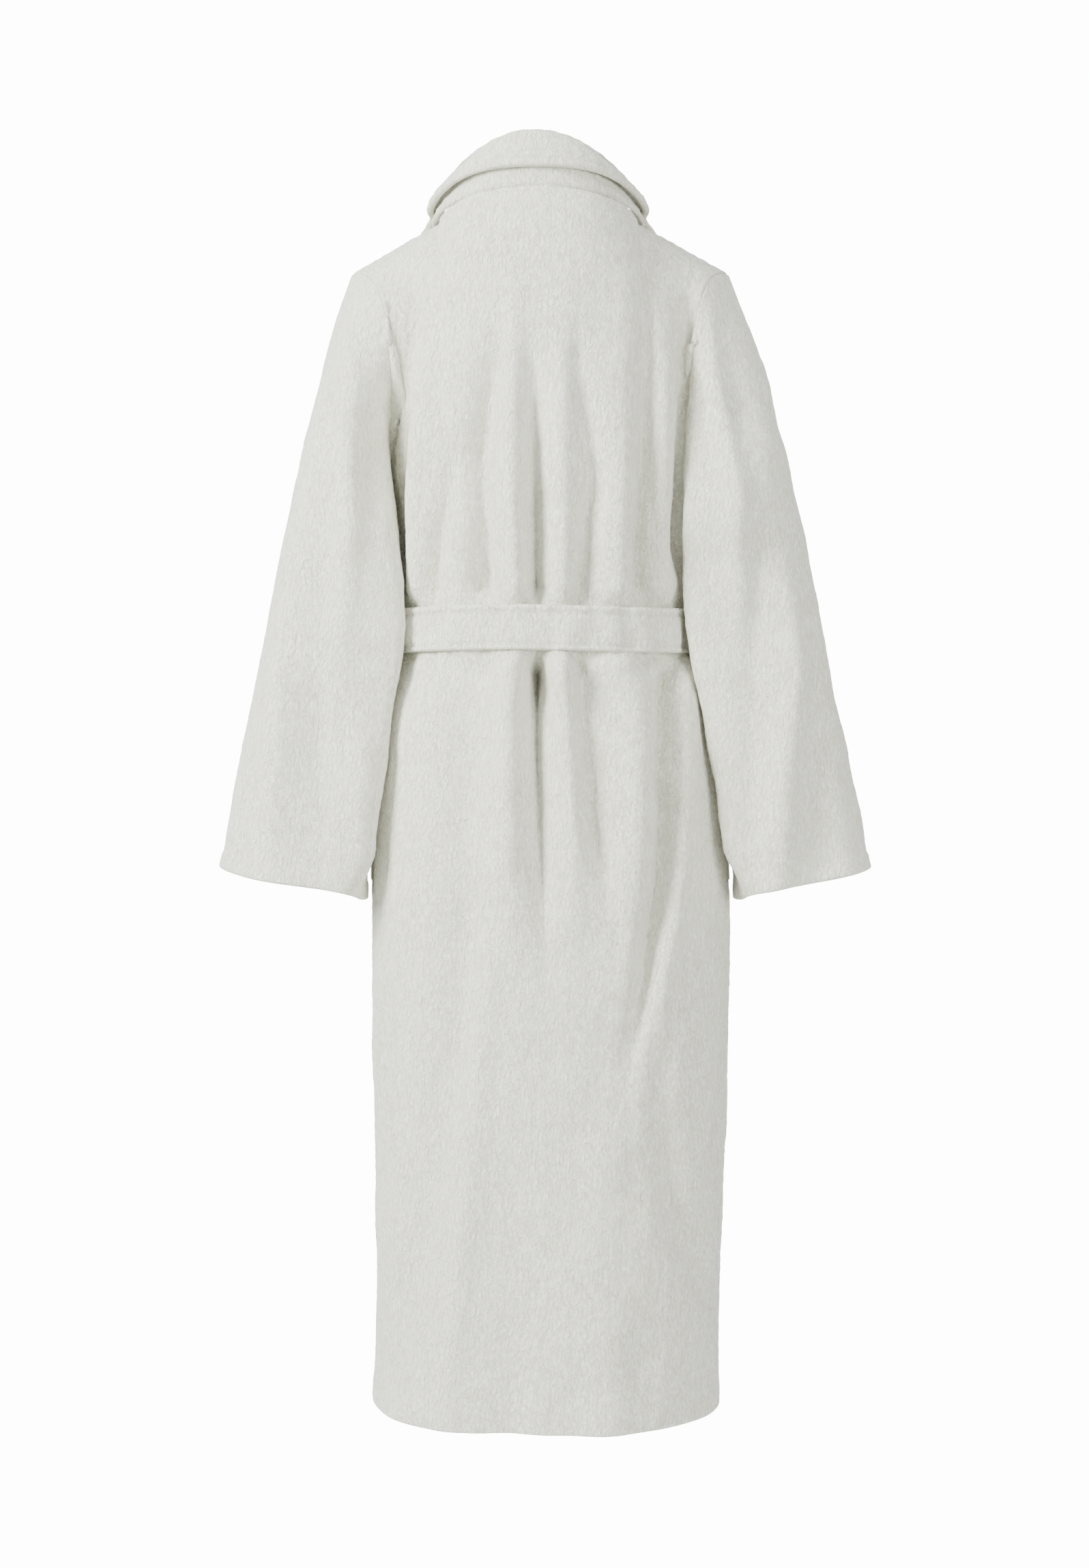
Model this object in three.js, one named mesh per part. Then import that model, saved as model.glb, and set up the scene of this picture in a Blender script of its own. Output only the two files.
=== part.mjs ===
// A long plush bathrobe with a shawl collar, shaped as on a form and tied at the waist.
// Millimetres, +Z up. The fronts face -Y and the wearer's left is +X. The origin is where a hanger
// carries it: midway between the shoulders, level with the points where shoulders meet neck.
import * as THREE from 'three';
import { RoundedBoxGeometry } from 'three/addons/geometries/RoundedBoxGeometry.js';

const { clamp, lerp: mix, smoothstep } = THREE.MathUtils;

// ---- Cloth and the room between layers ----
const CLOTH = 4; // one layer of plush
const LAY_GAP = 1.6; // between a layer and the one it lies on
const SEAM_GAP = 0.5; // between two pieces sewn edge to edge

// ---- Heights above the hem ----
const HIP_UP = 486;
const BELT_UP = 750; // lower edge of the belt
const BELT_WIDTH = 44;
const UNDERARM_UP = 925;
const ARMHOLE = 205; // underarm to shoulder tip
const SHOULDER_SLOPE = 48; // shoulder tip up to the neck point
const NECK_RISE = 23; // neck point up to the seam at the back of the neck
const FRONT_NECK_DROP = 70;

// ---- Half widths and half depths of the body, inside the cloth ----
const WIDTH = { hem: 170, hip: 179, chest: 164, waist: 140 };
const BACK = { hem: 124, hip: 120, chest: 112, waist: 104 };
const FRONT = { hem: 118, hip: 114, chest: 112, waist: 100 };
const EASE_BELOW = 55; // how soon the cloth fills out again below and above the belt
const EASE_ABOVE = 95;
const ROUNDNESS = 2.4; // 2 is an ellipse, more is squarer

// ---- Shoulders, neck and armholes ----
const SHOULDER_HALF = 188;
const NECK_HALF = 98;
const NECK_BACK = 80; // from the shoulder seam back to the neck seam
const NECK_FRONT = 70;
const SHOULDER_FORWARD = 5; // the shoulder seam lies this far behind the middle
const NECK_SHARE = 0.42; // share of the half panel that meets the neck
const ARMHOLE_CUT = 23; // how far the armhole curves in
const ARMHOLE_DEPTH = 57; // half of the armhole, front to back

// ---- Fronts and collar ----
const WRAP = 95; // each front passes the middle by this much
const OVER_RUN = 0.45; // share of the half panel over which the upper front rises on the lower one
const LAPEL = 5; // thickness of the pressed lapel
const LAPEL_END_UP = 700;
const LAPEL_WIDTH = 112;
const LAPEL_TIP = 34;
const COLLAR_STAND = 58; // neck seam to crest, at the back
const COLLAR_SIDE_STAND = 24;
const COLLAR_FALL = 38; // crest to free edge, at the back
const COLLAR_THICK = 15;
const COLLAR_SEAT = 18; // how far the collar spreads on the shoulder

// ---- Sleeves ----
const CUFF_UP = 504; // inner end of the sleeve hem, above the robe's hem
const CUFF_TILT = 32; // the outer end of the sleeve hem is higher
const CUFF_OUT = 326; // outer end, from the middle
const SLEEVE_FLARE = 0.202; // outward run for each millimetre down
const SHOULDER_ROUND = 20;
const SHOULDER_ROUND_RUN = 28;
const SLEEVE_AIR = 5; // between the sleeve and the body
const SLEEVE_DEPTH = 64; // half of the sleeve, front to back
const SLEEVE_BACK = 26; // the sleeve hangs this far behind the middle

// ---- Belt ----
const BELT_THICK = 4.5;
const KNOT = { width: 58, height: 50, depth: 22, round: 8 };
const TAIL_LENGTH = 400;
const TAIL_APART = 6; // half the room between the two tails
const TAIL_SPLAY = 0.05; // outward run for each millimetre down
const BELT_LOOP = { inner: 0.955, outer: 0.999, thick: 2, past: 9, clear: 2 };

// ---- Pockets and small pieces ----
const POCKET = { width: 125, height: 170, top: 690, middle: 0.69, thick: 3, room: 20, rim: 0.12 };
const TAPE = { low: 0.45, high: 0.95, thick: 1.2 };
const HANG_LOOP = { width: 62, drop: 34, strap: 8, thick: 3 };
const LABEL_THICK = 0.9;
const LINING_GAP = 0.8; // between the inside of the back and what is sewn to it
const CARE_LABEL_UP = [160, 215];

// ---- Values that follow from the above ----
const BELT_MID = BELT_UP + BELT_WIDTH / 2;
const TIP_UP = UNDERARM_UP + ARMHOLE;
const NECK_UP = TIP_UP + SHOULDER_SLOPE;
const LAPEL_LOW = CLOTH + LAY_GAP;
const LAPEL_HIGH = LAPEL_LOW + LAPEL;
const OVER = LAPEL_HIGH + LAY_GAP; // how far the left front lies over the right one
const QUARTER = Math.PI / 2;
const BAND_FRONT = FRONT.waist + OVER + LAPEL_HIGH + LAY_GAP + BELT_THICK;
const TAIL_TOP = BELT_MID - KNOT.height / 2 - SEAM_GAP;
const TAIL_SEATS = [TAIL_TOP - TAIL_LENGTH, HIP_UP].map((z) => half(FRONT, z) + OVER + CLOTH);
const TAIL_FRONT = Math.max(BAND_FRONT, ...TAIL_SEATS) + SEAM_GAP;
const QUARTER_GIRTH = (QUARTER / 2) * (WIDTH.hip + FRONT.hip); // side seam to middle, at the hip
const PANEL_COLUMNS = 24;
const HANG_TURN = Math.asin((HANG_LOOP.width - HANG_LOOP.strap) / 2 / NECK_HALF);
const HANG_Y = SHOULDER_FORWARD + NECK_BACK * Math.cos(HANG_TURN) - HANG_LOOP.thick / 2;
const HANG_Z = NECK_UP + NECK_RISE * Math.cos(HANG_TURN) - TAPE.thick - LINING_GAP - 5 * SEAM_GAP;
// Rows of a body panel: closer together where the belt draws the cloth in, then even to the shoulder.
const BELOW_ARM = [
  0, HIP_UP / 2, HIP_UP, BELT_UP - 2.4 * EASE_BELOW, BELT_UP - 1.2 * EASE_BELOW, BELT_UP - EASE_BELOW / 2,
  BELT_UP, BELT_UP + BELT_WIDTH, BELT_UP + BELT_WIDTH + EASE_ABOVE / 3, BELT_UP + BELT_WIDTH + EASE_ABOVE * 0.8,
].map((z) => z / UNDERARM_UP);
const ARM_ROWS = 8;
const ABOVE_ARM = Array.from({ length: ARM_ROWS + 1 }, (_, k) => 1 + k / ARM_ROWS);
const LEVELS = [...BELOW_ARM, ...ABOVE_ARM];
const level = (v) => LEVELS[Math.round(v * (LEVELS.length - 1))];

// ---- The shape that every piece follows ----
// A half width or half depth at a height: hem, hip and chest, drawn in by the belt.
function half(size, z) {
  const full = z < HIP_UP
    ? mix(size.hem, size.hip, smoothstep(z, 0, HIP_UP))
    : mix(size.hip, size.chest, smoothstep(z, HIP_UP, UNDERARM_UP));
  const away = Math.max(0, Math.abs(z - BELT_MID) - BELT_WIDTH / 2);
  const ease = z < BELT_MID ? EASE_BELOW : EASE_ABOVE;
  return full - (full - size.waist) * Math.exp(-away / ease);
}

// The shoulder seam, and the neck seam that runs on from it. across: 0 at the middle, 1 at the tip.
function topEdge(across, facing) {
  const a = Math.abs(across);
  const side = Math.sign(across);
  const seam = SHOULDER_FORWARD - (facing > 0 ? 0 : SEAM_GAP);
  if (a >= NECK_SHARE) {
    const t = (a - NECK_SHARE) / (1 - NECK_SHARE);
    return [side * mix(NECK_HALF, SHOULDER_HALF, t), seam, mix(NECK_UP, TIP_UP, t)];
  }
  const turn = (a / NECK_SHARE) * QUARTER;
  const depth = facing > 0 ? NECK_BACK : NECK_FRONT;
  const rise = facing > 0 ? NECK_RISE : -FRONT_NECK_DROP;
  const inward = facing > 0 ? Math.cos(turn) : Math.cos(turn) ** 2;
  return [side * NECK_HALF * Math.sin(turn), seam + facing * depth * inward, NECK_UP + rise * inward];
}

// A point of the robe. across: -1 right seam to 1 left seam. up: 0 hem, 1 underarm, 2 shoulder and neck.
// facing: 1 back, -1 front. lift: how far outside the inner face of the cloth.
function body(across, up, facing, lift) {
  const z = Math.min(up, 1) * UNDERARM_UP;
  const sin = Math.sin(across * QUARTER);
  const wide = half(WIDTH, z) + lift;
  const deep = half(facing > 0 ? BACK : FRONT, z) + lift;
  const plan = Math.pow(1 - Math.pow(Math.abs(sin), ROUNDNESS), 1 / ROUNDNESS);
  if (up <= 1) return new THREE.Vector3(wide * sin, facing * deep * plan, z);
  const w = up - 1;
  const [xTop, yTop, zTop] = topEdge(across, facing);
  const bend = Math.sin(w * Math.PI);
  const edge = Math.pow(Math.abs(across), 4);
  const x = mix(wide * sin, xTop, w) - Math.sign(across) * ARMHOLE_CUT * bend * edge;
  const y = yTop + (facing * deep * plan - yTop) * Math.pow(Math.cos(w * QUARTER), 0.8);
  const pocket = facing * (ARMHOLE_DEPTH + lift) * bend * edge;
  return new THREE.Vector3(x, y + pocket, mix(z, zTop + lift, Math.sin(w * QUARTER)));
}

const acrossAt = (x, z) => Math.asin(clamp(x / half(WIDTH, z), -1, 1)) / QUARTER;

// The edge of a front: straight to the belt, then slanting to the neck point.
function frontEdge(up) {
  const z = Math.min(up, 1) * UNDERARM_UP;
  const top = BELT_UP + BELT_WIDTH;
  const slant = (NECK_HALF + WRAP) / (NECK_UP - top);
  const x = -WRAP + Math.max(0, z - top) * slant;
  const low = acrossAt(x, z);
  return up <= 1 ? low : mix(low, NECK_SHARE, Math.sin((up - 1) * QUARTER));
}

// How far a front is lifted where it lies over the other one.
function overlap(side, across, up) {
  if (side < 0) return 0;
  return OVER * smoothstep(OVER_RUN - frontEdge(up) - across, 0, OVER_RUN - 0.05);
}

// ---- Solids ----
const plush = new THREE.Color(0xe6e6e0);
const cotton = new THREE.Color(0xe2e0d8);
const satin = new THREE.Color(0xf2f1ee);
const robe = new THREE.Group();

function add(name, geometry, colour = plush, roughness = 0.95) {
  const material = new THREE.MeshStandardMaterial({ color: colour, roughness, metalness: 0 });
  const mesh = new THREE.Mesh(geometry, material);
  mesh.name = name;
  robe.add(mesh);
  return mesh;
}

// A layer of cloth as a closed solid. face(u, v, side) gives its inner (0) and outer (1) faces, for u and v
// from 0 to 1. A ring joins its u = 1 edge to its u = 0 edge.
function layer(columns, rows, face, ring = false) {
  const wide = ring ? columns : columns + 1;
  const points = [];
  for (const side of [0, 1]) {
    for (let j = 0; j <= rows; j++) {
      for (let i = 0; i < wide; i++) points.push(...face(i / columns, j / rows, side).toArray());
    }
  }
  const at = (i, j, side) => side * wide * (rows + 1) + j * wide + (i % wide);
  const index = [];
  const quad = (a, b, c, d) => index.push(a, b, c, a, c, d);
  for (let j = 0; j < rows; j++) {
    for (let i = 0; i < columns; i++) {
      quad(at(i, j, 1), at(i + 1, j, 1), at(i + 1, j + 1, 1), at(i, j + 1, 1));
      quad(at(i, j, 0), at(i, j + 1, 0), at(i + 1, j + 1, 0), at(i + 1, j, 0));
    }
  }
  for (let i = 0; i < columns; i++) {
    quad(at(i, 0, 0), at(i + 1, 0, 0), at(i + 1, 0, 1), at(i, 0, 1));
    quad(at(i, rows, 1), at(i + 1, rows, 1), at(i + 1, rows, 0), at(i, rows, 0));
  }
  for (let j = 0; j < rows && !ring; j++) {
    quad(at(0, j, 1), at(0, j + 1, 1), at(0, j + 1, 0), at(0, j, 0));
    quad(at(columns, j, 0), at(columns, j + 1, 0), at(columns, j + 1, 1), at(columns, j, 1));
  }
  if (volume(points, index) < 0) index.reverse();
  const geometry = new THREE.BufferGeometry();
  geometry.setAttribute('position', new THREE.Float32BufferAttribute(points, 3));
  geometry.setIndex(index);
  geometry.computeVertexNormals();
  return geometry;
}

function volume(points, index) {
  const corner = (k) => new THREE.Vector3().fromArray(points, 3 * index[k]);
  let sum = 0;
  for (let k = 0; k < index.length; k += 3) sum += corner(k).dot(corner(k + 1).cross(corner(k + 2)));
  return sum / 6;
}

// ---- Back: one panel from side seam to side seam ----
function backPanel() {
  const seam = SEAM_GAP / SHOULDER_HALF;
  const face = (u, v, side) => body(mix(seam - 1, 1 - seam, u), level(v), 1, side * CLOTH);
  add('back_panel', layer(PANEL_COLUMNS, LEVELS.length - 1, face));
}

// ---- Fronts: from the side seam past the middle, cut away to the neck ----
function frontPanel(name, side) {
  const seam = SEAM_GAP / SHOULDER_HALF;
  const face = (u, v, outer) => {
    const up = level(v);
    const across = mix(frontEdge(up), 1 - seam, u);
    return body(side * across, up, -1, overlap(side, across, up) + outer * CLOTH);
  };
  add(name, layer(18, LEVELS.length - 1, face));
}

// ---- Sleeves: from the armhole to the sleeve hem ----
function armhole(around, lift) {
  const back = around <= 0.5;
  return body(1, 1 + (back ? 2 * around : 2 - 2 * around), back ? 1 : -1, lift);
}

function sleeve(name, side) {
  const face = (around, along, outer) => {
    const lift = outer * CLOTH;
    const zOut = mix(TIP_UP, CUFF_UP + CUFF_TILT, along);
    const zIn = mix(UNDERARM_UP, CUFF_UP, along);
    const round = SHOULDER_ROUND * Math.exp((zOut - TIP_UP) / SHOULDER_ROUND_RUN);
    const xOut = CUFF_OUT - (zOut - CUFF_UP - CUFF_TILT) * SLEEVE_FLARE - round;
    const nearBelt = Math.exp(-Math.pow((zIn - BELT_MID) / BELT_WIDTH, 2));
    const beltStack = (LAY_GAP + BELT_THICK + BELT_LOOP.thick) * nearBelt;
    const xIn = half(WIDTH, zIn) + CLOTH + SLEEVE_AIR + beltStack;
    const turn = around * 2 * Math.PI;
    const reach = -Math.cos(turn);
    const deep = (mix(ARMHOLE_DEPTH, SLEEVE_DEPTH, along) - CLOTH + lift) * Math.sin(turn);
    const drift = SLEEVE_BACK * smoothstep(along, 0, 0.35);
    const x = (xOut + xIn) / 2 + ((xOut - xIn) / 2 - CLOTH + lift) * reach;
    const z = (zOut + zIn) / 2 + ((zOut - zIn) / 2) * reach + (1 - along) * (lift - CLOTH) * reach;
    const tube = new THREE.Vector3(x, deep + drift, z);
    const root = armhole(around, lift);
    root.x += 2 * SEAM_GAP;
    const point = root.lerp(tube, smoothstep(along, 0, 0.3));
    point.x *= side;
    return point;
  };
  add(name, layer(2 * ARM_ROWS, 14, face, true));
}

// ---- Shawl collar: stands round the neck, folds over, and runs down the fronts as lapels ----
function collar() {
  const neckRows = 8;
  const end = LAPEL_END_UP / UNDERARM_UP;
  const whole = [...LEVELS.filter((up) => up > end + 0.01), 2].reverse().slice(1);
  const lapelLevels = [...whole, end].flatMap((up, k, all) => (k ? [(up + all[k - 1]) / 2, up] : [up]));
  const neck = (t, across, face) => {
    const turn = t * QUARTER;
    const cos = Math.cos(turn);
    const spread = smoothstep(t, 0.35, 1);
    const foot = NECK_UP + NECK_RISE * cos + LAPEL_LOW;
    const crest = NECK_UP + LAPEL_LOW + mix(COLLAR_SIDE_STAND, NECK_RISE + COLLAR_STAND, cos * cos);
    const edge = Math.max(foot + LAPEL, crest - COLLAR_FALL * mix(0.5, 1, cos));
    const inner = mix(mix(-COLLAR_THICK, 0, spread), mix(-LAPEL, COLLAR_SEAT, spread), across);
    const outer = mix(mix(-LAPEL, 0, spread), mix(COLLAR_THICK - LAPEL, COLLAR_SEAT, spread), across);
    const r = face ? outer : inner;
    const z = face ? mix(crest, mix(edge, foot + LAPEL, spread), across)
      : mix(mix(crest - LAPEL, foot, spread), foot, across);
    return [(NECK_HALF + r) * Math.sin(turn), SHOULDER_FORWARD + (NECK_BACK + r) * cos, z];
  };
  const lapel = (up, across, face, side) => {
    const t = (2 - up) / (2 - end);
    const full = mix(COLLAR_SEAT, LAPEL_WIDTH, smoothstep(t, 0, 0.3));
    const width = full - (LAPEL_WIDTH - LAPEL_TIP) * smoothstep(t, 0.5, 1);
    const where = frontEdge(up) + (across * width) / SHOULDER_HALF / 1.35;
    const stand = (COLLAR_SIDE_STAND - LAPEL) * (1 - smoothstep(t, 0, 0.3)) * (1 - across) * face;
    const lift = overlap(side, where, up) + LAPEL_LOW + LAPEL * face + stand;
    return body(side * where, up, -1, lift);
  };
  const reach = neckRows + lapelLevels.length - 1;
  const face = (along, across, outer) => {
    const k = Math.round((2 * along - 1) * reach);
    const side = Math.sign(k) || 1;
    const past = Math.abs(k) - neckRows;
    if (past > 0) return lapel(lapelLevels[past], across, outer, side);
    const [x, y, z] = neck(Math.abs(k) / neckRows, across, outer);
    return new THREE.Vector3(side * x, y, z);
  };
  add('shawl_collar', layer(2 * reach, 5, face));
}

// ---- Belt: a band round the waist, a knot in front and two hanging tails ----
function beltRing() {
  const face = (around, v, outer) => {
    const turn = around * 4;
    const facing = turn < 2 ? 1 : -1;
    const across = turn < 2 ? 1 - turn : turn - 3;
    const up = (BELT_UP + v * BELT_WIDTH) / UNDERARM_UP;
    const stack = facing > 0 ? 0 : (OVER + LAPEL_HIGH - CLOTH) * smoothstep(0.85 - Math.abs(across), 0, 0.3);
    return body(across, up, facing, CLOTH + LAY_GAP + stack + outer * BELT_THICK);
  };
  add('belt_band', layer(56, 1, face, true));
}

function beltKnot() {
  const knot = new RoundedBoxGeometry(KNOT.width, KNOT.depth, KNOT.height, 2, KNOT.round);
  add('belt_knot', knot).position.set(0, -BAND_FRONT - SEAM_GAP - KNOT.depth / 2, BELT_MID);
}

function beltTail(name, side) {
  const face = (u, v, outer) => {
    const down = v * TAIL_LENGTH;
    const x = side * (TAIL_APART + u * BELT_WIDTH + TAIL_SPLAY * down);
    return new THREE.Vector3(x, -TAIL_FRONT - outer * BELT_THICK, TAIL_TOP - down);
  };
  add(name, layer(1, 4, face));
}

// ---- Belt loops: a narrow strap beside each side seam, standing over the belt ----
function beltLoop(name, side) {
  const low = BELT_UP - BELT_LOOP.past;
  const high = BELT_UP + BELT_WIDTH + BELT_LOOP.past;
  const heights = [low, BELT_UP - BELT_LOOP.clear, BELT_UP + BELT_WIDTH + BELT_LOOP.clear, high];
  const over = CLOTH + LAY_GAP + BELT_THICK + LAY_GAP;
  const seats = [CLOTH + SEAM_GAP, over, over, CLOTH + SEAM_GAP];
  const face = (u, v, outer) => {
    const row = Math.round(v * 3);
    const across = side * mix(BELT_LOOP.inner, BELT_LOOP.outer, u);
    return body(across, heights[row] / UNDERARM_UP, 1, seats[row] + outer * BELT_LOOP.thick);
  };
  add(name, layer(2, 3, face));
}

// ---- Patch pockets: sewn down at the sides and foot, open and standing off at the top ----
function pocket(name, side) {
  const share = POCKET.width / QUARTER_GIRTH / 2;
  const face = (u, v, outer) => {
    const across = side * mix(POCKET.middle - share, POCKET.middle + share, u);
    const up = (POCKET.top - POCKET.height * (1 - v)) / UNDERARM_UP;
    const rim = (t) => smoothstep(t, 0, POCKET.rim);
    const swell = POCKET.room * rim(u) * rim(1 - u) * rim(v);
    const seat = overlap(side, across * side, up) + CLOTH + SEAM_GAP;
    return body(across, up, -1, seat + swell + outer * POCKET.thick);
  };
  add(name, layer(12, 10, face));
}

// ---- Small pieces inside, laid along the back panel's own facets ----
function inside(column, low, high, t, lift) {
  const seam = SEAM_GAP / SHOULDER_HALF;
  const across = mix(seam - 1, 1 - seam, column / PANEL_COLUMNS);
  return body(across, low, 1, lift).lerp(body(across, high, 1, lift), t);
}

function lining(name, columns, levels, span, thick, colour) {
  const face = (u, v, outer) => {
    const lift = -LINING_GAP - (1 - outer) * thick;
    return inside(mix(columns[0], columns[1], u), levels[0], levels[1], mix(span[0], span[1], v), lift);
  };
  add(name, layer(columns[1] - columns[0], 1, face), colour, 0.7);
}

function hangingLoop() {
  const { width, strap, drop, thick } = HANG_LOOP;
  const end = width / 2;
  const outline = new THREE.Shape([
    [-end, 0], [-end, -drop], [end, -drop], [end, 0],
    [end - strap, 0], [end - strap, strap - drop], [strap - end, strap - drop], [strap - end, 0],
  ].map(([x, y]) => new THREE.Vector2(x, y)));
  const loop = new THREE.ExtrudeGeometry(outline, { depth: thick, bevelEnabled: false });
  loop.rotateX(QUARTER);
  loop.translate(0, HANG_Y + thick, HANG_Z);
  add('hanging_loop', loop, cotton, 0.8);
}

backPanel();
frontPanel('front_panel_left', 1);
frontPanel('front_panel_right', -1);
sleeve('sleeve_left', 1);
sleeve('sleeve_right', -1);
collar();
beltRing();
beltKnot();
beltTail('belt_tail_left', 1);
beltTail('belt_tail_right', -1);
beltLoop('belt_loop_left', 1);
beltLoop('belt_loop_right', -1);
pocket('pocket_left', 1);
pocket('pocket_right', -1);
const middle = PANEL_COLUMNS / 2;
lining('neck_tape', [middle - 4, middle + 4], [LEVELS.at(-2), 2], [TAPE.low, TAPE.high], TAPE.thick, cotton);
lining('neck_label', [middle - 1, middle + 1], [LEVELS.at(-3), LEVELS.at(-2)], [0.25, 0.9], LABEL_THICK, satin);
const careSpan = CARE_LABEL_UP.map((z) => z / (HIP_UP / 2));
lining('care_label', [PANEL_COLUMNS - 3, PANEL_COLUMNS - 2], [0, LEVELS[1]], careSpan, LABEL_THICK, satin);
hangingLoop();

robe.position.z = -NECK_UP;
export default robe;
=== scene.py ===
# A long plush bathrobe, shaped as on a form and seen from behind: shawl collar, straight sleeves,
# patch pockets and a belt tied in front. Sizes are in millimetres until a mesh is made, with
# heights measured from the hem. +Z is up, the fronts face -Y and the wearer's left is +X.
import math
import bmesh
import bpy
import numpy as np
from mathutils import Matrix, Vector


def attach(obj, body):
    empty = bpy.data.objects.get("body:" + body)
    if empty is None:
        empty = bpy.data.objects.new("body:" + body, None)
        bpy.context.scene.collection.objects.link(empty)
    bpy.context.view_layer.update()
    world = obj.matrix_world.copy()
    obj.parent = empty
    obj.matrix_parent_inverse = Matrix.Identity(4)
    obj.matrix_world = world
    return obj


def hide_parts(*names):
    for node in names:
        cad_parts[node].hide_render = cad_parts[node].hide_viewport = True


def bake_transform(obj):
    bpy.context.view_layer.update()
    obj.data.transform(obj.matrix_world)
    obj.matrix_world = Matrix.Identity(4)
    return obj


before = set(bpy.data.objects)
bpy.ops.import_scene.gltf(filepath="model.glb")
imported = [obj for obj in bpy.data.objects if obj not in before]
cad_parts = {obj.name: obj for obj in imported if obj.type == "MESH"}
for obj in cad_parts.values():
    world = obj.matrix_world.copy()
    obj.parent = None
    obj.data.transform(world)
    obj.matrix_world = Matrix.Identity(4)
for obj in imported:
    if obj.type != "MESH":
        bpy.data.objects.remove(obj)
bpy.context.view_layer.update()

# ---- Camera ----
# It stands square behind the robe and a little above its middle.
NECK_UP = 1178.0
HANGER = NECK_UP / 1000
CAMERA_FROM = 2.25
CAMERA_UP = 0.70
VIEW_HEIGHT = 1.586
VIEW_MIDDLE = 0.618
camera_data = bpy.data.cameras.new("studio_camera")
camera_data.sensor_fit = "VERTICAL"
camera_data.sensor_height = 36
camera_data.lens = 36 * CAMERA_FROM / VIEW_HEIGHT
camera_data.shift_y = (VIEW_MIDDLE - CAMERA_UP) / VIEW_HEIGHT
camera = bpy.data.objects.new("studio_camera", camera_data)
bpy.context.scene.collection.objects.link(camera)
camera.matrix_world = (
    Matrix.Translation((0.0, CAMERA_FROM, CAMERA_UP - HANGER))
    @ Matrix.Rotation(math.pi, 4, "Z")
    @ Matrix.Rotation(math.pi / 2, 4, "X")
)
bpy.context.scene.camera = camera

# ---- Light and floor ----
# Four big softboxes and a white room. The floor lies where it does under a wardrobe rail that
# is 2.08 m up.
FLOOR_UNDER_HANGER = 2.08
FLOOR_SIDE = 12.0


def linear(code):
    """An sRGB hex colour as linear red, green, blue and alpha."""
    parts = [int(code[k:k + 2], 16) / 255 for k in (1, 3, 5)]
    return [c / 12.92 if c <= 0.04045 else ((c + 0.055) / 1.055) ** 2.4 for c in parts] + [1.0]


def add_node(tree, kind, inputs=None, links=None, **settings):
    """Adds a node with its settings, its input values and what is linked to it."""
    made = tree.nodes.new(kind)
    for name, value in settings.items():
        setattr(made, name, value)
    for name, value in (inputs or {}).items():
        made.inputs[name].default_value = value
    for name, source in (links or {}).items():
        tree.links.new(source, made.inputs[name])
    return made


def new_material(name):
    """An empty node material and its output node."""
    material = bpy.data.materials.new(name)
    material.use_nodes = True
    material.node_tree.nodes.clear()
    return material, add_node(material.node_tree, "ShaderNodeOutputMaterial")


def softbox(name, place, target, size, power, colour):
    light = bpy.data.lights.new(name, "AREA")
    light.shape = "RECTANGLE"
    light.size, light.size_y = size
    light.energy = power
    light.color = linear(colour)[:3]
    lamp = bpy.data.objects.new(name, light)
    bpy.context.scene.collection.objects.link(lamp)
    place, target = Vector(place), Vector(target)
    aimed = (target - place).to_track_quat("-Z", "Y").to_matrix().to_4x4()
    lamp.matrix_world = Matrix.Translation(place) @ aimed


softbox("key_softbox", (2.3, 1.4, 0.7), (0, 0, -0.55), (0.9, 1.5), 245, "#fcfdf8")
softbox("fill_softbox", (-2.0, 2.6, -0.1), (0, 0, -0.6), (1.4, 1.8), 100, "#fcfdf8")
softbox("top_softbox", (0.0, 0.9, 2.0), (0, 0, -0.4), (1.6, 1.0), 40, "#ffffff")
softbox("front_softbox", (-0.9, -2.6, 0.3), (0, 0, -0.5), (1.6, 2.0), 95, "#fbfcff")

room = bpy.data.worlds.new("white_room")
room.use_nodes = True
room.node_tree.nodes.clear()
ROOM_LIGHT = 0.33
ROOM_SEEN = 14.0
seen = add_node(room.node_tree, "ShaderNodeLightPath")
around = add_node(room.node_tree, "ShaderNodeBackground",
                  {"Color": linear("#fbfcff"), "Strength": ROOM_LIGHT})
behind = add_node(room.node_tree, "ShaderNodeBackground", {"Color": linear("#ffffff"), "Strength": ROOM_SEEN})
both = add_node(room.node_tree, "ShaderNodeMixShader", {}, {0: seen.outputs["Is Camera Ray"],
                                                            1: around.outputs[0], 2: behind.outputs[0]})
add_node(room.node_tree, "ShaderNodeOutputWorld", {}, {0: both.outputs[0]})
bpy.context.scene.world = room

paper, paper_out = new_material("white_floor_paper")
paper_shader = add_node(paper.node_tree, "ShaderNodeBsdfPrincipled",
                        {"Base Color": linear("#f4f4f2"), "Roughness": 0.9})
# The camera sees the paper as white as the room, and the robe is lit by its plain matt face.
paper_seen = add_node(paper.node_tree, "ShaderNodeEmission",
                      {"Color": linear("#ffffff"), "Strength": ROOM_SEEN})
paper_ray = add_node(paper.node_tree, "ShaderNodeLightPath")
paper_mix = add_node(paper.node_tree, "ShaderNodeMixShader", {}, {0: paper_ray.outputs["Is Camera Ray"],
                                                                  1: paper_shader.outputs[0],
                                                                  2: paper_seen.outputs[0]})
paper.node_tree.links.new(paper_mix.outputs[0], paper_out.inputs[0])
floor_mesh = bpy.data.meshes.new("floor")
reach = FLOOR_SIDE / 2
corners = ((-reach, -reach), (reach, -reach), (reach, reach), (-reach, reach))
floor_mesh.from_pydata([(x, y, -FLOOR_UNDER_HANGER) for x, y in corners], [], [(0, 1, 2, 3)])
floor = bpy.data.objects.new("floor", floor_mesh)
floor_mesh.materials.append(paper)
bpy.context.scene.collection.objects.link(floor)

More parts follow.
